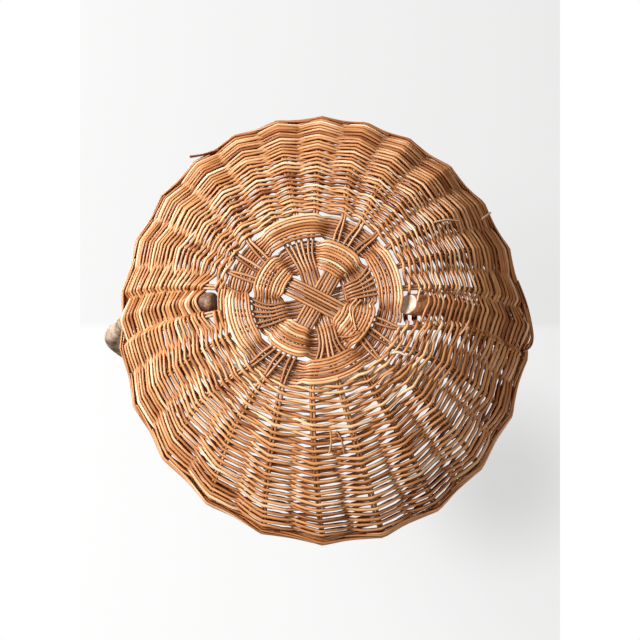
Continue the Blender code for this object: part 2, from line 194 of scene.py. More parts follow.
def oval(x, y, s):
    pull = OVAL_SHARE * clamp(s / WALL_LENGTH)
    long_x, long_y = math.cos(OVAL_ANGLE), math.sin(OVAL_ANGLE)
    long_part = (x * long_x + y * long_y) * (1 + pull)
    short_part = (y * long_x - x * long_y) * (1 - pull)
    return long_part * long_x - short_part * long_y, long_part * long_y + short_part * long_x


def wall_point(angle, s, offset=0.0):
    radius, height = profile(s)
    slope = slope_at(s)
    radius += math.sin(slope) * offset
    height -= math.cos(slope) * offset
    x, y = oval(radius * math.cos(angle), radius * math.sin(angle), s)
    return CENTRE + Vector((x, y, height))


def wall_normal(angle, s):
    slope = slope_at(s)
    return Vector((math.sin(slope) * math.cos(angle), math.sin(slope) * math.sin(angle), -math.cos(slope)))


def arm_angle(arm):
    return FIRST_ARM + arm * ARM_STEP


def stake_angle(arm, place):
    angle = arm_angle(arm) + place * STAKE_STEP
    return angle + LEAN_MEAN - LEAN_SWING * math.cos(angle)


def turn_at(arm, place, s):
    """Angle of a stake at a slope length: some arms leave the base narrow and spread on the wall."""
    high = stake_angle(arm, place)
    if arm % 2:
        return high
    low = arm_angle(arm) + NARROW_LEAN + place * NARROW_STEP
    share = clamp(s / SPREAD_LENGTH)
    return blend(low, high, share * (2 - share))


def span_angles(index, s=WALL_LENGTH):
    first, second = [turn_at(number // 3, number % 3 - 1, s)
                     for number in (index % STAKE_COUNT, (index + 1) % STAKE_COUNT)]
    return first, second + (2 * math.pi if second < first else 0)


def chord_point(index, share, s, offset):
    """A point on the straight line between two stakes, share of the way along, and offset from it."""
    first, second = span_angles(index, s)
    base = wall_point(first, s).lerp(wall_point(second, s), share)
    return base + wall_normal(blend(first, second, share), s) * offset


def half_span(index, s):
    first, second = span_angles(index, s)
    return (wall_point(first, s) - wall_point(second, s)).length / 2


RIGHT_LEG_SPAN = max(range(STAKE_COUNT), key=lambda index: chord_point(index, 0.5, WALL_LENGTH, 0).x)
LEFT_LEG_SPAN = min(range(STAKE_COUNT), key=lambda index: chord_point(index, 0.5, WALL_LENGTH, 0).x)
LEG_SPANS = (RIGHT_LEG_SPAN, LEFT_LEG_SPAN)


def leg_share(index, s):
    """Share of its span at which a leg's middle lies: the right tip is nearer to one stake."""
    aside = LEG_ASIDE_SHARE if index == RIGHT_LEG_SPAN else 0
    return 0.5 - aside * clamp(1 - s / SPREAD_LENGTH)


LEG_ANGLES = [blend(*span_angles(index, 0), leg_share(index, 0)) for index in LEG_SPANS]


def leg_offset(s):
    share = 1 - clamp(max(s, TIP_START) / LIFT_LENGTH)
    return -LEG_SINK - TIP_LIFT * share * share


def leg_radius(s):
    """A leg is thick at its tip and at the rim, and pared thinner where the rods pass it."""
    pared = blend(TIP_RADIUS, PARED_RADIUS, clamp((s - PARED_START) / SWELL_LENGTH))
    return blend(pared, LEG_RADIUS, clamp((s - RIM_SWELL) / SWELL_LENGTH))


def wander(seed, place, size):
    """A slow, repeatable drift between -size and size along a rod."""
    return noise.noise(Vector((place, seed * 7.31, 0.5))) * size


def run_lengths(points):
    """How far along the line each of its points lies."""
    runs = [0.0]
    for before, after in zip(points, points[1:]):
        runs.append(runs[-1] + (after - before).length)
    return runs


class Rods:
    """The rods of one piece. Each is a line of points with a girth, and has a tone and a map strip."""

    def __init__(self):
        self.points = []
        self.edges = []
        self.values = {"girth": [], "run": [], "share": [], "tone": [], "strip": [], "depth": []}
        self.count = 0

    def add(self, points, girths, tone, depths=None):
        first = len(self.points)
        runs = run_lengths(points)
        self.points += points
        self.edges += [(first + number, first + number + 1) for number in range(len(points) - 1)]
        self.values["girth"] += girths
        self.values["run"] += [run + self.count for run in runs]
        self.values["share"] += [run / runs[-1] for run in runs]
        self.values["tone"] += [tone] * len(points)
        self.values["strip"] += [self.count] * len(points)
        self.values["depth"] += depths or [0.0] * len(points)
        self.count += 1


def add_object(name, data):
    thing = bpy.data.objects.new(name, data)
    bpy.context.scene.collection.objects.link(thing)
    return thing


def add_node(tree, kind, feeds=None, **settings):
    """A node with its settings made, and its inputs linked or given a value."""
    node = tree.nodes.new(kind)
    for key, value in settings.items():
        setattr(node, key, value)
    for key, value in (feeds or {}).items():
        if isinstance(value, bpy.types.NodeSocket):
            tree.links.new(value, node.inputs[key])
        else:
            node.inputs[key].default_value = value
    return node


def math_node(tree, operation, *feeds):
    return add_node(tree, "ShaderNodeMath", dict(enumerate(feeds)), operation=operation).outputs[0]


def vector_math(tree, operation, *feeds):
    return add_node(tree, "ShaderNodeVectorMath", dict(enumerate(feeds)), operation=operation).outputs


def attribute_field(tree, name, kind="FLOAT"):
    return add_node(tree, "GeometryNodeInputNamedAttribute", {"Name": name}, data_type=kind).outputs[0]


STRIP_MARGIN_SHARE = 0.12
# Every wall rod's outward side faces away from this height on the bowl's axis
HUB_HEIGHT = 0.26


def add_sockets(tree, in_out, **kinds):
    for name, kind in kinds.items():
        tree.interface.new_socket(name, in_out=in_out, socket_type="NodeSocket" + kind)


def store(tree, geometry, name, value, kind="FLOAT", domain="POINT"):
    """Keeps a value on the geometry under a name, and hands the geometry on."""
    feeds = {"Geometry": geometry, "Name": name, "Value": value}
    kept = add_node(tree, "GeometryNodeStoreNamedAttribute", feeds, data_type=kind, domain=domain)
    return kept.outputs[0]


def rod_sweep_tree():
    """Sweeps a round section along each line, and stores what the finish and the bake map need."""
    tree = bpy.data.node_groups.new("rod_sweep", "GeometryNodeTree")
    add_sockets(tree, "INPUT", Lines="Geometry", Sides="Int", Strips="Float")
    add_sockets(tree, "INPUT", Finish="Material", Hub="Vector")
    add_sockets(tree, "OUTPUT", Rods="Geometry")
    given = tree.nodes.new("NodeGroupInput").outputs
    sides = given["Sides"]
    girth = attribute_field(tree, "girth")
    place = tree.nodes.new("GeometryNodeInputPosition").outputs[0]
    index = tree.nodes.new("GeometryNodeInputIndex").outputs[0]
    circle = add_node(tree, "GeometryNodeCurvePrimitiveCircle", {"Resolution": sides, "Radius": 1.0})
    ring = store(tree, circle.outputs["Curve"], "ring", place, "FLOAT_VECTOR")
    section = store(tree, ring, "around", math_node(tree, "DIVIDE", index, sides))
    line = add_node(tree, "GeometryNodeMeshToCurve", {"Mesh": given["Lines"]}).outputs[0]
    swept = add_node(tree, "GeometryNodeCurveToMesh", {
        "Curve": line, "Profile Curve": section, "Scale": girth, "Fill Caps": True,
    }).outputs[0]
    # the rod laid straight, for its grain
    unit = attribute_field(tree, "ring", "FLOAT_VECTOR")
    split = add_node(tree, "ShaderNodeSeparateXYZ", {"Vector": unit})
    straight = add_node(tree, "ShaderNodeCombineXYZ", {
        "X": attribute_field(tree, "run"),
        "Y": math_node(tree, "MULTIPLY", split.outputs["X"], girth),
        "Z": math_node(tree, "MULTIPLY", split.outputs["Y"], girth),
    }).outputs[0]
    swept = store(tree, swept, "straight", straight, "FLOAT_VECTOR")
    # a strip of the bake map for each rod, closed at the seam
    around = attribute_field(tree, "around")
    mean = add_node(tree, "GeometryNodeFieldOnDomain", {"Value": around}, data_type="FLOAT", domain="FACE")
    at_start = math_node(tree, "LESS_THAN", around, math_node(tree, "DIVIDE", 0.5, sides))
    at_seam = math_node(tree, "GREATER_THAN", mean.outputs[0], math_node(tree, "DIVIDE", 1.5, sides))
    closed = math_node(tree, "ADD", around, math_node(tree, "MULTIPLY", at_start, at_seam))
    inner = math_node(tree, "MULTIPLY_ADD", closed, 1 - 2 * STRIP_MARGIN_SHARE, STRIP_MARGIN_SHARE)
    height = math_node(tree, "ADD", attribute_field(tree, "strip"), inner)
    chart = add_node(tree, "ShaderNodeCombineXYZ", {
        "X": attribute_field(tree, "share"), "Y": math_node(tree, "DIVIDE", height, given["Strips"]),
    }).outputs[0]
    swept = store(tree, swept, "OFBake", chart, "FLOAT2", "CORNER")
    # how far the surface faces out of the bowl, which the finish uses for painted shade between the rods
    away = vector_math(tree, "SUBTRACT", place, given["Hub"])[0]
    outward = vector_math(tree, "NORMALIZE", away)[0]
    normal = tree.nodes.new("GeometryNodeInputNormal").outputs[0]
    faced = vector_math(tree, "DOT_PRODUCT", normal, outward)["Value"]
    swept = store(tree, swept, "openness", faced)
    swept = add_node(tree, "GeometryNodeSetShadeSmooth", {"Geometry": swept}).outputs[0]
    swept = add_node(tree, "GeometryNodeRealizeInstances", {"Geometry": swept}).outputs[0]
    feeds = {"Geometry": swept, "Material": given["Finish"]}
    dressed = add_node(tree, "GeometryNodeSetMaterial", feeds).outputs[0]
    tree.links.new(dressed, tree.nodes.new("NodeGroupOutput").inputs[0])
    return tree


def sweep_rods(name, rods, sides, material, tree, nodes):
    """One piece from its rods: the swept mesh rides on the basket and stands for the given solids."""
    lines = bpy.data.meshes.new(name + "_lines")
    lines.from_pydata(rods.points, rods.edges, [])
    for key, values in rods.values.items():
        lines.attributes.new(key, "FLOAT", "POINT").data.foreach_set("value", values)
    source = add_object(name + "_lines", lines)
    modifier = source.modifiers.new("rod_sweep", "NODES")
    modifier.node_group = tree
    hub = CENTRE + Vector((0, 0, HUB_HEIGHT))
    inputs = {"Sides": sides, "Strips": float(rods.count), "Finish": material, "Hub": hub}
    for item in tree.interface.items_tree:
        if item.name in inputs:
            modifier[item.identifier] = inputs[item.name]
    graph = bpy.context.evaluated_depsgraph_get()
    mesh = bpy.data.meshes.new_from_object(source.evaluated_get(graph), depsgraph=graph)
    mesh.name = name
    bpy.data.objects.remove(source)
    piece = add_object(name, mesh)
    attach(piece, "root")
    if nodes:
        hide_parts(*nodes)
    return piece


def smooth_line(points, step):
    """A smooth line through the points, about step apart."""
    line = []
    for number in range(len(points) - 1):
        before = points[max(number - 1, 0)]
        start, end = points[number], points[number + 1]
        after = points[min(number + 2, len(points) - 1)]
        count = max(1, round((end - start).length / step))
        for part in range(count):
            share = part / count
            square, cube = share * share, share ** 3
            line.append((start * 2 + (end - before) * share
                         + (before * 2 - start * 5 + end * 4 - after) * square
                         + (start * 3 - before - end * 3 + after) * cube) / 2)
    line.append(points[-1])
    return line


def tone_mix(chance, low=0.36, high=0.70):
    """A rod's own tone: most are alike, and a few are darker or paler."""
    if chance.random() < 0.10:
        return chance.choice((low - 0.13, high + 0.14))
    return chance.uniform(low, high)


def stake_half(arm, place, aside, seed):
    """One rod of a stake pair, from where it crosses the middle of the base up to the rim."""
    along = Vector((math.cos(arm_angle(arm)), math.sin(arm_angle(arm)), 0))
    across = Vector((-along.y, along.x, 0))
    centre = CENTRE + Vector((*CROSS_ASIDE, 0))
    side = across * (place * BUNDLE_STEP + aside) + centre
    crossing = Vector((0, 0, BASE_LEVEL + BUNDLE_ORDER[arm % len(BUNDLE_ORDER)] * LEVEL_STEP))
    level = Vector((0, 0, BASE_LEVEL))
    points = [along * (CROSS_REACH - LEVEL_STEP) + side + crossing, along * LEVEL_REACH + side + level]
    angle = turn_at(arm, place, 0)
    spread = 1 + STRAIGHT_SHARE * FAN_SPREAD * (0.5 + wander(seed, 3, 0.5)) / STAKE_SPREAD
    straight = across * (place * BUNDLE_STEP * STRAIGHT_SHARE + aside * blend(1, spread, 0.5))
    points.append(along * STRAIGHT_REACH + straight + CENTRE.lerp(centre, 0.6) + level)
    share = (FAN_REACH - STRAIGHT_REACH) / (BASE_RADIUS - STRAIGHT_REACH)
    parallel = arm_angle(arm) + place * BUNDLE_STEP * STRAIGHT_SHARE / STRAIGHT_REACH
    turn = blend(parallel, angle, share ** 0.8)
    turn += aside * spread / FAN_REACH
    points.append(CENTRE + Vector((math.cos(turn), math.sin(turn), 0)) * FAN_REACH + level)
    s = 0.0
    while s < WALL_LENGTH + BORDER_HEIGHT / 2:
        radius = profile(s)[0]
        lean = (aside + wander(seed, s * 40, STAKE_SWAY)) / radius
        angle = turn_at(arm, place, s)
        points.append(wall_point(angle + lean, s, wander(seed + 50, s * 60, STAKE_BOW)))
        s += STAKE_CLIMB
    return points


def make_stakes(material, tree):
    number = 0
    for arm in range(ARM_COUNT // 2):
        for place in (-1, 0, 1):
            number += 1
            chance = random.Random(number)
            rods = Rods()
            for side in (-1, 1):
                aside = side * STAKE_SPREAD
                seed = number * 2 + side
                near = stake_half(arm, place, aside, seed)
                far = stake_half(arm + ARM_COUNT // 2, -place, -aside, seed + 100)
                line = smooth_line(near[::-1] + far, STAKE_STATION)
                swell = [wander(seed, index * 0.11, 0.06) for index in range(len(line))]
                rods.add(line, [STAKE_RADIUS * (1 + part) for part in swell], tone_mix(chance))
            name = f"stake_rods_{number:02d}"
            sweep_rods(name, rods, 8, material, tree, [f"stake_pair_{number:02d}"])


def ring_swing(angle, phase, gain):
    """1 where the ring passes below the stakes, -1 where it passes above them, sloping between."""
    swing = math.cos(4 * (angle - FIRST_ARM)) * phase
    return math.sin(math.pi / 2 * clamp(swing * gain, -1, 1))


def make_ring(name, span, phase, gain, node, seed, material, tree):
    """A ring of base weave: long rods that wind outward, over one cross of bundles and under the other."""
    chance = random.Random(seed)
    rods = Rods()
    start, end = span
    turns = (end - start) / RING_PITCH
    angle = chance.uniform(0, 1)
    last = angle + turns * 2 * math.pi
    begin = angle
    while angle < last:
        length = chance.uniform(1.1, 2.3) * math.pi
        stop = min(angle + length, last)
        line, girths, depths = [], [], []
        count = max(2, math.ceil((stop - angle) / RING_STATION))
        rod = RING_ROD * chance.uniform(0.9, 1.1)
        edge = clamp((angle - last) / (2 * math.pi) + EDGE_TURNS)
        for number in range(count + 1):
            turn = blend(angle, stop, number / count)
            radius = start + (turn - begin) / (2 * math.pi) * RING_PITCH
            radius += wander(seed, turn * 1.3, RING_SWAY)
            swing = ring_swing(turn, phase, gain)
            middle = (start + end) / 2
            radius = middle + (radius - middle) * (1 + RING_SQUEEZE * (abs(swing) - 0.9))
            height = BASE_LEVEL - LEVEL_STEP * swing + wander(seed + 9, turn * 2.1, RING_BOW)
            line.append(CENTRE + Vector((radius * math.cos(turn), radius * math.sin(turn), height)))
            girths.append(rod * blend(1.08, 0.85, number / count) * (1 + edge * 0.12))
            # how far the ring lies behind the stakes, for the painted shade in the finish
            depths.append(blend(RING_BEHIND, 0.4, (swing + 1) / 2))
        rods.add(line, girths, tone_mix(chance) + edge * EDGE_TONE, depths)
        angle = stop
    return sweep_rods(name, rods, 8, material, tree, [node])


def leg_push(s, angle):
    """Rows are pushed up the slope where a leg's tip pokes out between them."""
    if s < PUSH_START:
        return 0.0
    shift = 0.0
    for leg, push in zip(LEG_ANGLES, (RIGHT_PUSH, LEFT_PUSH)):
        turn = (angle - leg + math.pi) % (2 * math.pi) - math.pi
        aside = math.hypot(turn * profile(s)[0], PUSH_ROUND)
        shift += clamp(1 - aside / PUSH_WIDTH) * push
    return shift * clamp((PUSH_END - s) / (PUSH_END - PUSH_START))


def row_slope(climb, angle):
    """Slope length of the weave after climb rows, drifting a little round the wall."""
    share = climb / ROWS
    crowd = CROWD_SHARE * (1 + math.cos(angle - CROWD_ANGLE))
    s = FIRST_ROW + (share + crowd * share * (share - 1)) * ROWS * ROW_PITCH
    sway = wander(3, angle * 1.1 + climb * 0.35, ROW_SWAYS[0]) + wander(8, climb * 0.9, ROW_SWAYS[1])
    s += sway * clamp(climb / 3)
    return s + leg_push(s, angle)


def weave_wave(share, late):
    """1 at a stake and -1 at the next: straight between stakes, or late and quick where rows are loose."""
    straight = 1 - 2 * share
    early = blend(math.cos(math.pi * share), straight, POINTED_SHARE)
    return blend(early, math.sin(math.pi / 2 * clamp(straight * 1.9, -1, 1)), late)


def round_leg(index, s, side, rod):
    """Line from a leg's crest to the next stake, as places aside, offsets and shares of the way."""
    reach = half_span(index, s)
    clear = leg_radius(s) + rod
    centre = side * leg_offset(s)
    distance = math.hypot(reach, centre)
    touch = math.atan2(-centre, reach) + math.acos(min((clear + WEAVE_DEPTH) / distance, 0.995))
    line = []
    for part in range(4):
        turn = blend(math.pi / 2, touch, part / 3)
        line.append((clear * math.cos(turn), centre + clear * math.sin(turn), 0.12 * part))
    for part in range(3):
        turn = blend(touch + math.pi, math.pi * 1.5, part / 3)
        aside, offset = reach + WEAVE_DEPTH * math.cos(turn), WEAVE_DEPTH * math.sin(turn)
        line.append((aside, offset, 0.64 + 0.12 * part))
    return [(aside, side * offset, share) for aside, offset, share in line]


def behind_tip(index, s, share, side, rod):
    """Offset of a low row where it passes inside a leg's tip."""
    reach = half_span(index, s)
    middle = leg_share(index, s)
    room = middle if share < middle else 1 - middle
    aside = reach * abs(share - middle) / room
    clear = leg_radius(s) + rod
    cross = min(clear * 1.12, reach * 0.88)
    if aside < cross:
        return leg_offset(s) - clear * math.sqrt(1 - (aside / cross) ** 2)
    rest = (aside - cross) / (reach - cross)
    sign = side if share < middle else -side
    return WEAVE_DEPTH * sign * math.sin(rest * math.pi / 2)


# Near the rim the rods stand out round the right leg
RIM_BULGE = 0.0034
RIM_BULGE_SPANS = 0.62
RIM_BULGE_START = 0.110


def rim_bulge(away):
    """How far the rods stand out at a number of spans from the middle of the right leg's span."""
    return RIM_BULGE * math.exp(-(away / RIM_BULGE_SPANS) ** 2)


def weave_place(strand, row, index, share, offset, lift):
    """A point of a strand, share of the way along a span, with its small irregularities."""
    first, second = span_angles(index, row * ROW_PITCH)
    place = row * STAKE_COUNT + index + share
    s = row_slope(row + (index + share) / STAKE_COUNT, blend(first, second, share)) + lift
    s += wander(strand + 20, place * 1.7, ROD_SWAYS[0]) + wander(strand + 25, place * 4.3, ROD_SWAYS[1])
    offset += wander(strand + 30, place * 1.3, ROD_BOW)
    bulge = rim_bulge(place % STAKE_COUNT - RIGHT_LEG_SPAN - 0.5)
    offset += bulge * clamp((s - RIM_BULGE_START) / (WALL_LENGTH - RIM_BULGE_START)) ** 2
    return chord_point(index, share, max(s, LOWEST_ROW), offset)


def strand_line(strand, first_row, last_row):
    """One strand of the pair over its rows, as points with the count of elements passed."""
    line = []
    number = 0
    for row in range(first_row, last_row):
        rod = blend(THIN_ROD, THICK_ROD, clamp(row / 8))
        for index in range(STAKE_COUNT):
            side = 1 if (number + strand) % 2 == 0 else -1
            s = row_slope(row + (index + 0.5) / STAKE_COUNT, sum(span_angles(index, row * ROW_PITCH)) / 2)
            if index in LEG_SPANS and row >= LEG_ROW:
                reach = half_span(index, s)
                middle = leg_share(index, s)
                half = round_leg(index, s, -side, rod + ROD_CLEAR)
                places = [(-1, middle, *item) for item in half[::-1]]
                places += [(1, 1 - middle, *item) for item in half[1:]]
                for way, room, aside, offset, share in places:
                    lift = way * side * WEAVE_TWIST * math.sin(math.pi * share)
                    at = middle + way * room * aside / reach
                    point = weave_place(strand, row, index, at, offset, lift)
                    line.append((point, number + 1 + way * share, WEAVE_DEPTH))
                number += 2
                continue
            loose = (1 - math.cos(span_angles(index)[0] - CROWD_ANGLE)) / 2
            late = LATE_SHARE * loose * clamp((row - LATE_ROWS[0]) / (LATE_ROWS[1] - LATE_ROWS[0]))
            for share in SPAN_SHARES:
                offset = side * WEAVE_DEPTH * weave_wave(share, late)
                if index in LEG_SPANS:
                    offset = behind_tip(index, s, share, side, rod + ROD_CLEAR)
                lift = -side * WEAVE_TWIST * math.sin(math.pi * share) ** (1 + 2 * late)
                line.append((weave_place(strand, row, index, share, offset, lift), number + share, offset))
            number += 1
    return line, number


# Each rod lies a little above or below its row, and at a slant of its own. It runs on past a number of
# pairs of stakes, and tapers from its butt to its tip.
ROD_SHIFT = 0.0005
ROD_TILT = 0.0006
ROD_PAIRS = (6, 12)
BUTT_SHARES = (0.98, 1.18)
TIP_SHARES = (0.70, 0.94)
END_SHARE = 0.75


def cut_rods(rods, line, total, strand, chance, thick):
    """Cuts a strand into rods that end behind the stakes, and adds them."""
    start = 0
    while start < total:
        stop = start + 2 * chance.randint(*ROD_PAIRS)
        if stop > total - 6:
            stop = total + 1
        # a strand is behind the stake at odd places of its own count
        low, high = start - 1 + strand - 0.12, stop - 1 + strand + 0.12
        part = [item for item in line if low <= item[1] <= high]
        start = stop
        if len(part) < 3:
            continue
        butt, tip = thick * chance.uniform(*BUTT_SHARES), thick * chance.uniform(*TIP_SHARES)
        if chance.random() < 0.5:
            butt, tip = tip, butt
        girths = [blend(butt, tip, number / (len(part) - 1)) for number in range(len(part))]
        girths[0] *= END_SHARE
        girths[-1] *= END_SHARE
        # how far each point lies in front of the stakes or behind them, for the painted shade in the finish
        depths = [clamp(item[2] / WEAVE_DEPTH, -1, 1) for item in part]
        shift, tilt = chance.uniform(-ROD_SHIFT, ROD_SHIFT), chance.uniform(-ROD_TILT, ROD_TILT)
        points = []
        for number, (point, _, _) in enumerate(part):
            flat = point - CENTRE
            upward = Vector((flat.x, flat.y, flat.xy.length)).normalized()
            points.append(point + upward * (shift + tilt * (2 * number / (len(part) - 1) - 1)))
        rods.add(points, girths, tone_mix(chance), depths)


def make_weave(material, tree):
    for band in range(ROWS // BAND_ROWS):
        chance = random.Random(band + 400)
        rods = Rods()
        first_row = band * BAND_ROWS
        thick = blend(THIN_ROD, THICK_ROD, clamp(band / 2))
        for strand in (0, 1):
            line, total = strand_line(strand, first_row, first_row + BAND_ROWS)
            cut_rods(rods, line, total, strand, chance, thick)
        nodes = [f"inner_strands_{band + 1}"]
        if band == 0:
            nodes += ["outer_strands_1_front", "outer_strands_1_back"]
        else:
            nodes += [f"outer_strands_{band + 1}"]
        sweep_rods(f"weave_rows_{band + 1}", rods, 8, material, tree, nodes)


BORDER_ROD = 0.00138
BORDER_SPANS = 3.6
BORDER_RIDGE = 0.0022
BORDER_ROLL = (-1.9, 2.4)
BORDER_ROLL_HEIGHT = 0.0040
BORDER_ROLL_DEPTH = 0.0036
BORDER_DROP = 0.0010
BORDER_SWAY = 0.0005


def make_border(material, tree):
    """The rim: each stake's rods turn over the rim and lie along it, past the next stakes."""
    chance = random.Random(77)
    rods = Rods()
    for index in range(STAKE_COUNT):
        for rod in range(2):
            points = []
            length = BORDER_SPANS + chance.uniform(-0.5, 0.6)
            start = index + rod * 0.5
            count = int(length * 10)
            for part in range(count + 1):
                share = part / count
                at = start + length * share
                within = at - int(at)
                roll = blend(*BORDER_ROLL, share ** 0.8)
                s = WALL_LENGTH + BORDER_HEIGHT / 2 + BORDER_ROLL_HEIGHT * math.cos(roll) - BORDER_DROP
                ridge = BORDER_RIDGE * abs(1 - 2 * within) ** 1.5
                offset = BORDER_ROLL_DEPTH * math.sin(roll) + ridge
                jitter = wander(index + rod * 40, at * 2.5, BORDER_SWAY)
                away = (at - RIGHT_LEG_SPAN - 0.5 + STAKE_COUNT / 2) % STAKE_COUNT - STAKE_COUNT / 2
                offset += rim_bulge(away)
                points.append(chord_point(int(at) % STAKE_COUNT, within, s + jitter, offset - jitter))
            thick = BORDER_ROD * chance.uniform(0.85, 1.15)
            girths = [thick * blend(1.1, 0.75, number / count) for number in range(count + 1)]
            rods.add(points, girths, tone_mix(chance))
    sweep_rods("rim_border", rods, 8, material, tree, ["border_outer", "border_inner"])


# Loose bits: three places along each, in the photograph's pixels, its height off the wall, tone and girth.
# The last five lie in the weave, three beside the left tip and two under the sprung rod.
STRAYS = [
    ([(190, 157), (203, 155), (219, 150)], 0.0010, 0.30, 0.0013),
    ([(221, 162), (223, 157), (225, 151)], 0.0030, 0.45, 0.0014),
    ([(433, 223), (445, 221), (456, 222)], 0.0045, 0.95, 0.0013),
    ([(480, 220), (484, 217), (488, 214)], 0.0045, 0.95, 0.0012),
    ([(391, 353), (398, 352), (405, 355)], 0.0060, 1.00, 0.0016),
    ([(417, 301), (418, 295), (420, 288)], 0.0060, 0.85, 0.0014),
    ([(458, 335), (463, 328), (467, 320)], 0.0050, 0.80, 0.0012),
    ([(407, 486), (410, 484), (413, 480)], 0.0040, 0.90, 0.0013),
    ([(321, 503), (323, 505), (326, 508)], 0.0045, 0.90, 0.0013),
    ([(370, 498), (376, 496), (382, 495)], 0.0045, 0.90, 0.0013),
    ([(329, 452), (331, 440), (330, 428)], 0.0048, 0.75, 0.0011),
    ([(328, 449), (336, 452), (345, 447)], 0.0042, 0.25, 0.0013),
    ([(336, 430), (341, 438), (344, 452)], 0.0046, 0.40, 0.0011),
    ([(357, 299), (350, 308), (352, 322)], 0.0045, 0.75, 0.0012),
    ([(361, 300), (353, 312), (356, 330)], 0.0045, 0.70, 0.0012),
    ([(340, 337), (352, 336), (364, 330)], 0.0042, 0.50, 0.0012),
    ([(392, 372), (384, 376), (378, 384)], 0.0055, 0.85, 0.0013),
    ([(224, 283), (221, 299), (222, 317)], 0.0012, 0.70, 0.0014),
    ([(226, 284), (223.7, 300), (225, 319)], 0.0012, 0.55, 0.0014),
    ([(221, 282), (218.4, 297), (219, 314)], 0.0010, 0.50, 0.0013),
    ([(525, 308), (530.2, 335), (524, 348.5)], 0.0028, 0.40, 0.0015),
    ([(522, 304), (527.6, 332), (521, 349)], 0.0030, 0.55, 0.0015),
]
STRAY_STEP = 0.0012
STRAY_LIFT_SHARES = (0.75, 1, 1.15)
# A rod that has sprung loose arcs past the rim at the right
LOOSE_ROD = [(516, 281), (524, 302), (529, 322), (531, 338), (528, 347), (521, 351)]
LOOSE_GIRTH = 0.0010
LOOSE_LIFT = 0.0028
LOOSE_STEP = 0.003


def level_point(pixel, height):
    """The place at a height that the camera sees at a pixel of the photograph."""
    view, right, down = look_frame()
    aside = (pixel[0] / PIXELS - 0.5 + CAMERA_SHIFT[0]) * SENSOR / CAMERA_LENS
    below = (pixel[1] / PIXELS - 0.5 - CAMERA_SHIFT[1]) * SENSOR / CAMERA_LENS
    ray = view + right * aside + down * below
    return camera_place() + ray * ((height - camera_place().z) / ray.z)


def pixel_point(pixel, lift):
    """The place on the basket's outside, or level with its rim, at a pixel of the photograph."""
    up_to_rim = PROFILE[:int(WALL_LENGTH / PROFILE_STEP)]
    height = BASE_LEVEL
    for _ in range(24):
        spot = level_point(pixel, height - lift) - CENTRE
        radius = spot.xy.length
        height = next((level for reach, level in up_to_rim if reach >= radius), up_to_rim[-1][1])
    slope = math.atan2(height - BASE_LEVEL, max(radius - BASE_RADIUS * 0.8, 0.01))
    sideways = math.sin(slope) / radius
    normal = Vector((spot.x * sideways, spot.y * sideways, -math.cos(slope)))
    return CENTRE + Vector((spot.x, spot.y, height)) + normal * lift


def make_strays(material, tree):
    """Broken ends, frayed bits and one sprung rod, as they stick out of the weave."""
    rods = Rods()
    for pixels, lift, tone, girth in STRAYS:
        points = [pixel_point(pixel, lift * share) for pixel, share in zip(pixels, STRAY_LIFT_SHARES)]
        line = smooth_line(points, STRAY_STEP)
        rods.add(line, [girth * blend(1, 0.7, at / len(line)) for at in range(len(line))], tone)
    line = smooth_line([pixel_point(pixel, LOOSE_LIFT) for pixel in LOOSE_ROD], LOOSE_STEP)
    rods.add(line, [LOOSE_GIRTH] * len(line), 0.2)
    sweep_rods("loose_ends", rods, 7, material, tree, [])


def bezier(start, start_pull, end_pull, end, share):
    rest = 1 - share
    return (start * rest ** 3 + start_pull * 3 * rest * rest * share
            + end_pull * 3 * rest * share * share + end * share ** 3)


# Points along a leg, from the rim to the shoulder and from there to the crown
LEG_STEPS = 60
SHOULDER_STEPS = 8
CROWN_STEPS = 36


def bow_side(index, sign, half_width, tip_start, tip_rise, end_share):
    """Centres and radii of one side of the branch, from its tip to the crown."""
    path = []
    end = WALL_LENGTH + BORDER_HEIGHT
    for number in range(LEG_STEPS + 1):
        s = blend(tip_start, end, (number / LEG_STEPS) ** 1.3)
        rise = tip_rise * clamp(1 - (s - tip_start) / RIGHT_RISE_LENGTH) ** 2
        round_share = math.sqrt(1 - clamp(1 - (s - tip_start) / KNOB_LENGTH) ** 2)
        radius = leg_radius(s) * blend(end_share, 1, round_share)
        path.append((chord_point(index, leg_share(index, s), s, leg_offset(s) + rise), radius))
    rim = path[-1][0]
    direction = (rim - path[-2][0]).normalized()
    shoulder = CENTRE + Vector((sign * half_width, 0, SHOULDER_HEIGHT))
    rise = shoulder.z - rim.z
    rim_pull = rim + direction * rise * RIM_HANDLE_SHARE
    shoulder_pull = shoulder - Vector((0, 0, rise * SHOULDER_HANDLE_SHARE))
    for step in range(1, SHOULDER_STEPS + 1):
        share = step / SHOULDER_STEPS
        path.append((bezier(rim, rim_pull, shoulder_pull, shoulder, share), LEG_RADIUS))
    crown_x = (BOW_RIGHT - BOW_LEFT) / 2
    reach = sign * half_width - crown_x
    rise = BOW_HEIGHT - CROWN_RADIUS - SHOULDER_HEIGHT
    for step in range(1, CROWN_STEPS + 1):
        share = step / CROWN_STEPS
        turn = share * math.pi / 2
        point = Vector((crown_x + reach * math.cos(turn), 0, SHOULDER_HEIGHT + rise * math.sin(turn)))
        path.append((CENTRE + point, blend(LEG_RADIUS, CROWN_RADIUS, share)))
    return path


BRANCH_SIDES = 28
LUMP = 0.0007
FINE_LUMP = 0.0003
LEFT_TIP_START = 0.0106
RIGHT_TIP_START = 0.0002
# The right tip is cut on a long slant and comes out level with the base, the left one is a worn knob
LEFT_SLANT_SHARE = 0.18
RIGHT_SLANT_SHARE = 0.70
SLANT_LENGTH = 0.024
RIGHT_TIP_RISE = 0.0048
RIGHT_RISE_LENGTH = 0.030
KNOB_LENGTH = 0.0050
LEFT_KNOB_SHARE = 0.70
RIGHT_KNOB_SHARE = 0.92


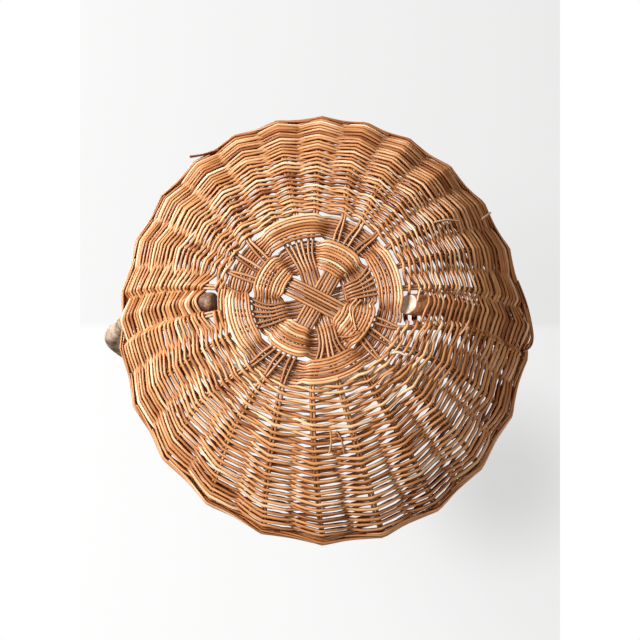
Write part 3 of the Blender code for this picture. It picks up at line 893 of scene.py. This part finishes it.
def make_branch(material, wood):
    """The handle: one branch with its bark, knobbly, with bare cut wood at both tips."""
    right = bow_side(RIGHT_LEG_SPAN, 1, BOW_RIGHT, RIGHT_TIP_START, RIGHT_TIP_RISE, RIGHT_KNOB_SHARE)
    left = bow_side(LEFT_LEG_SPAN, -1, BOW_LEFT, LEFT_TIP_START, 0, LEFT_KNOB_SHARE)
    path = right + left[-2::-1]
    sideways = Vector((0, 1, 0))
    runs = run_lengths([centre for centre, _ in path])
    points, faces = [], []
    for number, (centre, radius) in enumerate(path):
        before = path[max(number - 1, 0)][0]
        after = path[min(number + 1, len(path) - 1)][0]
        along = (after - before).normalized()
        out = along.cross(sideways)
        near_right = runs[number] < runs[-1] / 2
        inward = along if near_right else -along
        slant_share = RIGHT_SLANT_SHARE if near_right else LEFT_SLANT_SHARE
        slant_fade = clamp(1 - min(runs[number], runs[-1] - runs[number]) / SLANT_LENGTH)
        for side in range(BRANCH_SIDES):
            turn = 2 * math.pi * side / BRANCH_SIDES
            round_part = sideways * math.cos(turn) + out * math.sin(turn)
            lump = noise.noise(Vector((runs[number] * 38, math.cos(turn), math.sin(turn)))) * LUMP
            fine = Vector((runs[number] * 150, math.cos(turn) * 3, math.sin(turn) * 3))
            lump += noise.noise(fine) * FINE_LUMP
            arm = round_part * (radius + lump)
            slant = inward * (radius - arm.z) * slant_share * slant_fade
            points.append(centre + arm + slant)
    for row in range(len(path) - 1):
        for side in range(BRANCH_SIDES):
            after = (side + 1) % BRANCH_SIDES
            near, far = row * BRANCH_SIDES, (row + 1) * BRANCH_SIDES
            faces.append((near + side, near + after, far + after, far + side))
    last = (len(path) - 1) * BRANCH_SIDES
    faces.append(tuple(range(BRANCH_SIDES))[::-1])
    faces.append(tuple(range(last, last + BRANCH_SIDES)))
    mesh = bpy.data.meshes.new("branch_handle")
    mesh.from_pydata(points, [], faces)
    mesh.materials.append(material)
    mesh.materials.append(wood)
    for face in mesh.polygons[-2:]:
        face.material_index = 1
    mesh.shade_smooth()
    mesh.set_sharp_from_angle(angle=math.radians(50))
    chart = mesh.uv_layers.new(name="OFBake")
    for face in mesh.polygons:
        for corner in face.loop_indices:
            vertex = mesh.loops[corner].vertex_index
            row, side = divmod(vertex, BRANCH_SIDES)
            if side == 0 and len(face.vertices) == 4 and max(v % BRANCH_SIDES for v in face.vertices) > 1:
                side = BRANCH_SIDES
            chart.data[corner].uv = (runs[row] / runs[-1], side / BRANCH_SIDES * 0.9)
    chart_caps(mesh, chart)
    piece = add_object("branch_handle", mesh)
    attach(piece, "root")
    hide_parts("handle_bow")


def chart_caps(mesh, chart):
    """Gives each cut end its own round place in the bake map, beside the bark's."""
    for number, face in enumerate(mesh.polygons[-2:]):
        for order, corner in enumerate(face.loop_indices):
            turn = 2 * math.pi * order / len(face.loop_indices)
            place = (0.1 + number * 0.2 + 0.02 * math.cos(turn), 0.95 + 0.04 * math.sin(turn))
            chart.data[corner].uv = place


def new_finish(name, roughness):
    """An empty finish: the material, its node tree and its shader."""
    material = bpy.data.materials.new(name)
    material.use_nodes = True
    tree = material.node_tree
    shader = tree.nodes["Principled BSDF"]
    shader.inputs["Roughness"].default_value = roughness
    return material, tree, shader


def mesh_value(tree, name, output="Fac"):
    return add_node(tree, "ShaderNodeAttribute", attribute_name=name).outputs[output]


def noise_value(tree, place, scale, detail, roughness=0.5):
    feeds = {"Vector": place, "Scale": scale, "Detail": detail, "Roughness": roughness}
    return add_node(tree, "ShaderNodeTexNoise", feeds).outputs["Fac"]


def mix_colour(tree, factor, first, second, blend_type="MIX"):
    feeds = {"Factor": factor, 6: first, 7: second}
    return add_node(tree, "ShaderNodeMix", feeds, data_type="RGBA", blend_type=blend_type).outputs[2]


def map_range(tree, value, reach, levels=(0.0, 1.0), kind="SMOOTHSTEP"):
    """Carries a value from one range over to another, and holds it at both ends."""
    feeds = {"Value": value, "From Min": reach[0], "From Max": reach[1]}
    feeds |= {"To Min": levels[0], "To Max": levels[1]}
    return add_node(tree, "ShaderNodeMapRange", feeds, interpolation_type=kind).outputs[0]


def mix_shader(tree, factor, first, second):
    feeds = {0: factor, 1: first.outputs[0], 2: second.outputs[0]}
    return add_node(tree, "ShaderNodeMixShader", feeds)


def swing_by(tree, level, value, amount):
    """The level, moved up and down by a value that swings round one half."""
    return math_node(tree, "MULTIPLY_ADD", math_node(tree, "SUBTRACT", value, 0.5), amount, level)


def colour_steps(tree, factor, stops):
    """A colour ramp with (place, colour) stops."""
    ramp = add_node(tree, "ShaderNodeValToRGB", {"Fac": factor})
    elements = ramp.color_ramp.elements
    while len(elements) < len(stops):
        elements.new(0.5)
    for element, (place, colour) in zip(elements, stops):
        element.position = place
        element.color = (*colour, 1)
    return ramp.outputs["Color"]


# Along a rod and across it
STREAK_SCALE = (45, 1500, 1500)
DRIFT_SCALE = (28, 160, 160)
# Painted shade, partly also dirt: the willow is painted pale where it faces out of the weave, and brown
# between the rods and behind them, where shade falls
CREVICE_SHADE_RANGE = (0.06, 1.12)
CREVICE_SHADE_AND_DIRT_TINT = (0.21, 0.052, 0.013, 1)
DEPTH_SHARE = 0.38
GLOSS = 0.75
GLOSS_TINT = (1, 0.88, 0.76, 1)
STRAND_STOPS = [
    (0.05, (0.20, 0.050, 0.012)), (0.30, (0.43, 0.160, 0.048)), (0.55, (0.64, 0.290, 0.108)),
    (0.80, (0.80, 0.48, 0.25)), (1.0, (0.93, 0.73, 0.51)),
]
STAKE_STOPS = [
    (0.05, (0.15, 0.045, 0.013)), (0.35, (0.38, 0.155, 0.056)), (0.65, (0.59, 0.29, 0.125)),
    (1.0, (0.82, 0.56, 0.34)),
]


def grain_group():
    """Grain that all the willow shares: fine streaks along a rod, on a tone that drifts."""
    tree = bpy.data.node_groups.new("willow_grain", "ShaderNodeTree")
    add_sockets(tree, "INPUT", Straight="Vector", Tone="Float")
    add_sockets(tree, "OUTPUT", Level="Float", Streaks="Float")
    given = tree.nodes.new("NodeGroupInput").outputs
    fine = add_node(tree, "ShaderNodeMapping", {"Vector": given["Straight"], "Scale": STREAK_SCALE})
    coarse = add_node(tree, "ShaderNodeMapping", {"Vector": given["Straight"], "Scale": DRIFT_SCALE})
    streaks = noise_value(tree, fine.outputs[0], 1.0, 3.0, 0.6)
    drift = noise_value(tree, coarse.outputs[0], 1.0, 2.0)
    level = swing_by(tree, swing_by(tree, given["Tone"], streaks, 0.55), drift, 0.9)
    out = tree.nodes.new("NodeGroupOutput")
    tree.links.new(level, out.inputs["Level"])
    tree.links.new(streaks, out.inputs["Streaks"])
    return tree


def willow_material(name, stops, roughness, grain_tree):
    """Brown willow: its grain and a tone of its own, painted darker as shade, partly also dirt, between the
    rods and where it lies behind other rods.
    """
    material, tree, shader = new_finish(name, roughness)
    grain = add_node(tree, "ShaderNodeGroup", {
        "Straight": mesh_value(tree, "straight", "Vector"), "Tone": mesh_value(tree, "tone"),
    }, node_tree=grain_tree).outputs
    openness = mesh_value(tree, "openness")
    raised = math_node(tree, "MULTIPLY", mesh_value(tree, "depth"), math_node(tree, "SIGN", openness))
    height = math_node(tree, "MULTIPLY_ADD", raised, DEPTH_SHARE, math_node(tree, "ABSOLUTE", openness))
    out_of_painted_shade = map_range(tree, height, CREVICE_SHADE_RANGE)
    crevice_shade_and_dirt = mix_colour(tree, out_of_painted_shade, CREVICE_SHADE_AND_DIRT_TINT, (1, 1, 1, 1))
    colour = mix_colour(tree, 1.0, colour_steps(tree, grain["Level"], stops), crevice_shade_and_dirt, "MULTIPLY")
    tree.links.new(colour, shader.inputs["Base Color"])
    # the painted-shade mask also turns the specular down between and behind the rods
    tree.links.new(math_node(tree, "MULTIPLY", out_of_painted_shade, GLOSS), shader.inputs["Specular IOR Level"])
    shader.inputs["Specular Tint"].default_value = GLOSS_TINT
    feeds = {"Height": grain["Streaks"], "Strength": 0.35, "Distance": 0.0004}
    bump = add_node(tree, "ShaderNodeBump", feeds)
    tree.links.new(bump.outputs[0], shader.inputs["Normal"])
    return material


# Heights between which the bark in the weave gives way to the weathered bark of the bow
BARE_HEIGHT = (0.080, 0.100)
WEATHERED_STOPS = [
    (0.28, (0.12, 0.066, 0.038)), (0.42, (0.32, 0.210, 0.145)),
    (0.55, (0.51, 0.385, 0.29)), (0.72, (0.67, 0.55, 0.45)),
]
BUTT_STOPS = [
    (0.30, (0.040, 0.016, 0.008)), (0.45, (0.13, 0.056, 0.029)),
    (0.60, (0.30, 0.165, 0.100)), (0.75, (0.50, 0.34, 0.24)),
]
RED_STOPS = [
    (0.30, (0.16, 0.050, 0.018)), (0.45, (0.37, 0.145, 0.056)),
    (0.60, (0.56, 0.26, 0.115)), (0.75, (0.66, 0.38, 0.21)),
]
WOOD_STOPS = [(0.28, (0.36, 0.27, 0.20)), (0.45, (0.54, 0.46, 0.37)), (0.70, (0.72, 0.66, 0.57))]
DARK_BUTT_WOOD = (0.10, 0.062, 0.040, 1)
DARK_BUTT_WOOD_SHARE = 0.8


def bark_material():
    """Bark: red-brown in the weave at the thin end, darker at the butt, weathered grey above the rim."""
    material, tree, shader = new_finish("branch_bark_finish", 0.62)
    place = add_node(tree, "ShaderNodeTexCoord").outputs["Object"]
    patches = noise_value(tree, place, 70.0, 5.0, 0.6)
    level = swing_by(tree, patches, noise_value(tree, place, 520.0, 3.0), 0.4)
    split = add_node(tree, "ShaderNodeSeparateXYZ", {"Vector": place}).outputs
    young = math_node(tree, "GREATER_THAN", split["X"], 0.0)
    dark, red = colour_steps(tree, level, BUTT_STOPS), colour_steps(tree, level, RED_STOPS)
    held = mix_colour(tree, young, dark, red)
    above = map_range(tree, split["Z"], BARE_HEIGHT, kind="LINEAR")
    colour = mix_colour(tree, above, held, colour_steps(tree, level, WEATHERED_STOPS))
    tree.links.new(colour, shader.inputs["Base Color"])
    bump = add_node(tree, "ShaderNodeBump", {"Height": level, "Strength": 0.6, "Distance": 0.001})
    tree.links.new(bump.outputs[0], shader.inputs["Normal"])
    return material


def cut_wood_material():
    """Bare wood of the cut ends: pale at the thin end, darker at the butt."""
    material, tree, shader = new_finish("cut_wood_finish", 0.7)
    place = add_node(tree, "ShaderNodeTexCoord").outputs["Object"]
    fresh = colour_steps(tree, noise_value(tree, place, 180.0, 4.0), WOOD_STOPS)
    across = add_node(tree, "ShaderNodeSeparateXYZ", {"Vector": place}).outputs["X"]
    butt = math_node(tree, "LESS_THAN", across, 0.0)
    butt_darkening = math_node(tree, "MULTIPLY", butt, DARK_BUTT_WOOD_SHARE)
    tree.links.new(mix_colour(tree, butt_darkening, fresh, DARK_BUTT_WOOD), shader.inputs["Base Color"])
    return material


# Photograph's view: the camera is below the basket, and looks up at its base
CAMERA_DISTANCE = 1.8
CAMERA_LENS = 113.3
CAMERA_LEAN = (math.tan(math.radians(5.06)), math.tan(math.radians(14.79)))
CAMERA_SHIFT = (0.026, -0.034)
CAMERA_ASIDE = -0.00867
PIXELS = 640
SENSOR = 36
CLIP = (0.05, 50)
BACKDROP_HEIGHT = 0.345
STAGE_SIZE = 6.0
STAGE_COLOUR = (0.90, 0.90, 0.91, 1)
STAGE_GLOW = (1.0, 1.0, 1.0, 1)
STAGE_GLOW_SHARE = 0.93
# The paper ends at both sides of the picture; its glow is painted darker towards the right as shade, and
# painted darker in the basket's shadow
BACKDROP_CORNERS = ((80, -40), (560, -40), (560, 680), (80, 680))
PAPER_SHADE_LEVELS = (0.905, 0.812)
TABLE_LINE = (320, 326)
TABLE_GAIN = 0.065
TABLE_BLUR = 0.006
SHADOW_PIXEL = (505, 478)
SHADOW_REACH = (0.010, 0.125)
SHADOW_LEVEL = -0.20
WORLD_LIGHT = (1, 0.90, 0.80, 1)
WORLD_STRENGTH = 0.20
LAMP_TARGET = (0, 0, 0.07)
# Lamps beside the camera: how far along its view, to its right and down, size, power and colour
VIEW_LAMPS = {
    "window_key": ((-1.05, -1.47, -0.68), 0.7, 68, (1, 1, 1)),
    "front_fill": ((-1.9, 0.2, 0.1), 1.4, 10, (1, 0.85, 0.72)),
}
# Lamps above the basket: place, size and power
TOP_LAMPS = {"top_key": ((-0.9, -1.0, 1.9), 1.0, 34), "top_fill": ((1.3, 0.8, 1.4), 1.2, 12)}


def look_frame():
    """The photograph's view direction, and its right and down."""
    view = Vector((-CAMERA_LEAN[0], -CAMERA_LEAN[1], 1)).normalized()
    right = (Vector((1, 0, 0)) - view * view.x).normalized()
    return view, right, view.cross(right)


def camera_place():
    return CENTRE + Vector((CAMERA_ASIDE, 0, 0)) - look_frame()[0] * CAMERA_DISTANCE


def make_camera():
    view, right, down = look_frame()
    lens = bpy.data.cameras.new("photo_camera")
    lens.lens = CAMERA_LENS
    lens.shift_x, lens.shift_y = CAMERA_SHIFT
    lens.clip_start, lens.clip_end = CLIP
    camera = add_object("photo_camera", lens)
    camera.location = camera_place()
    camera.rotation_mode = "QUATERNION"
    camera.rotation_quaternion = Matrix((right, -down, -view)).transposed().to_quaternion()
    bpy.context.scene.camera = camera


def make_lamp(name, place, target, size, power, colour=(1, 1, 1)):
    lamp = bpy.data.lights.new(name, "AREA")
    lamp.size = size
    lamp.energy = power
    lamp.color = colour
    holder = add_object(name, lamp)
    holder.location = place
    holder.rotation_mode = "QUATERNION"
    holder.rotation_quaternion = (target - place).to_track_quat("-Z", "Y")


def paper_level(tree):
    """How pale the backdrop is: painted darker towards the right as shade, paler below the table's edge,
    and painted darker in the basket's shadow.
    """
    place = add_node(tree, "ShaderNodeTexCoord").outputs["Object"]
    split = add_node(tree, "ShaderNodeSeparateXYZ", {"Vector": place}).outputs
    left, right = [level_point(BACKDROP_CORNERS[number], BACKDROP_HEIGHT).x for number in (0, 1)]
    across = map_range(tree, split["X"], (left, right), PAPER_SHADE_LEVELS, "LINEAR")
    edge = level_point(TABLE_LINE, BACKDROP_HEIGHT).y
    below = map_range(tree, split["Y"], (edge - TABLE_BLUR, edge + TABLE_BLUR), (0.0, TABLE_GAIN))
    away = vector_math(tree, "DISTANCE", place, level_point(SHADOW_PIXEL, BACKDROP_HEIGHT))["Value"]
    shadow = map_range(tree, away, SHADOW_REACH, (SHADOW_LEVEL, 0.0))
    return math_node(tree, "ADD", math_node(tree, "ADD", across, below), shadow)


def stage_material(name, shaded):
    """Pale paper that the camera sees from its face only, so that it never hides the basket."""
    material = bpy.data.materials.new(name)
    material.use_nodes = True
    tree = material.node_tree
    paper = add_node(tree, "ShaderNodeBsdfDiffuse", {"Color": STAGE_COLOUR})
    level = paper_level(tree) if shaded else 1.0
    glow = add_node(tree, "ShaderNodeEmission", {"Color": STAGE_GLOW, "Strength": level})
    face = mix_shader(tree, STAGE_GLOW_SHARE, paper, glow)
    clear = tree.nodes.new("ShaderNodeBsdfTransparent")
    back = tree.nodes.new("ShaderNodeNewGeometry").outputs["Backfacing"]
    mix = mix_shader(tree, back, face, clear)
    tree.links.new(mix.outputs[0], tree.nodes["Material Output"].inputs["Surface"])
    return material


def make_sheet(name, corners, facing_down, material):
    mesh = bpy.data.meshes.new(name)
    mesh.from_pydata(corners, [], [(3, 2, 1, 0) if facing_down else (0, 1, 2, 3)])
    mesh.materials.append(material)
    sheet = add_object(name, mesh)
    for ray in ("diffuse", "glossy", "transmission", "shadow"):
        setattr(sheet, "visible_" + ray, False)


def make_world():
    world = bpy.data.worlds.new("studio")
    world.use_nodes = True
    tree = world.node_tree
    seen = add_node(tree, "ShaderNodeBackground", {"Color": (1, 1, 1, 1), "Strength": 1.0})
    light = tree.nodes["Background"]
    light.inputs["Color"].default_value = WORLD_LIGHT
    light.inputs["Strength"].default_value = WORLD_STRENGTH
    camera_ray = tree.nodes.new("ShaderNodeLightPath").outputs["Is Camera Ray"]
    mix = mix_shader(tree, camera_ray, light, seen)
    tree.links.new(mix.outputs[0], tree.nodes["World Output"].inputs["Surface"])
    bpy.context.scene.world = world


def make_studio():
    half = STAGE_SIZE / 2
    square = [(-half, -half, 0), (half, -half, 0), (half, half, 0), (-half, half, 0)]
    make_sheet("floor", square, False, stage_material("floor_paper", False))
    corners = [level_point(pixel, BACKDROP_HEIGHT) for pixel in BACKDROP_CORNERS]
    make_sheet("photo_backdrop", corners, True, stage_material("backdrop_paper", True))
    make_world()
    view, right, down = look_frame()
    target = Vector(LAMP_TARGET)
    for name, (steps, size, power, colour) in VIEW_LAMPS.items():
        place = target + view * steps[0] + right * steps[1] + down * steps[2]
        make_lamp(name, place, target, size, power, colour)
    for name, (place, size, power) in TOP_LAMPS.items():
        make_lamp(name, Vector(place), target, size, power)


def build():
    bpy.context.scene.view_settings.view_transform = "Standard"
    make_camera()
    make_studio()
    tree = rod_sweep_tree()
    grain = grain_group()
    strands = willow_material("willow_strands_finish", STRAND_STOPS, 0.40, grain)
    stakes = willow_material("willow_stakes_finish", STAKE_STOPS, 0.42, grain)
    make_stakes(stakes, tree)
    make_ring("base_ring_inner", INNER_RING, 1, INNER_RING_GAIN, "base_inner_ring", 11, strands, tree)
    make_ring("base_ring_outer", OUTER_RING, -1, OUTER_RING_GAIN, "base_outer_ring", 12, strands, tree)
    make_weave(strands, tree)
    make_border(strands, tree)
    make_strays(strands, tree)
    make_branch(bark_material(), cut_wood_material())


build()
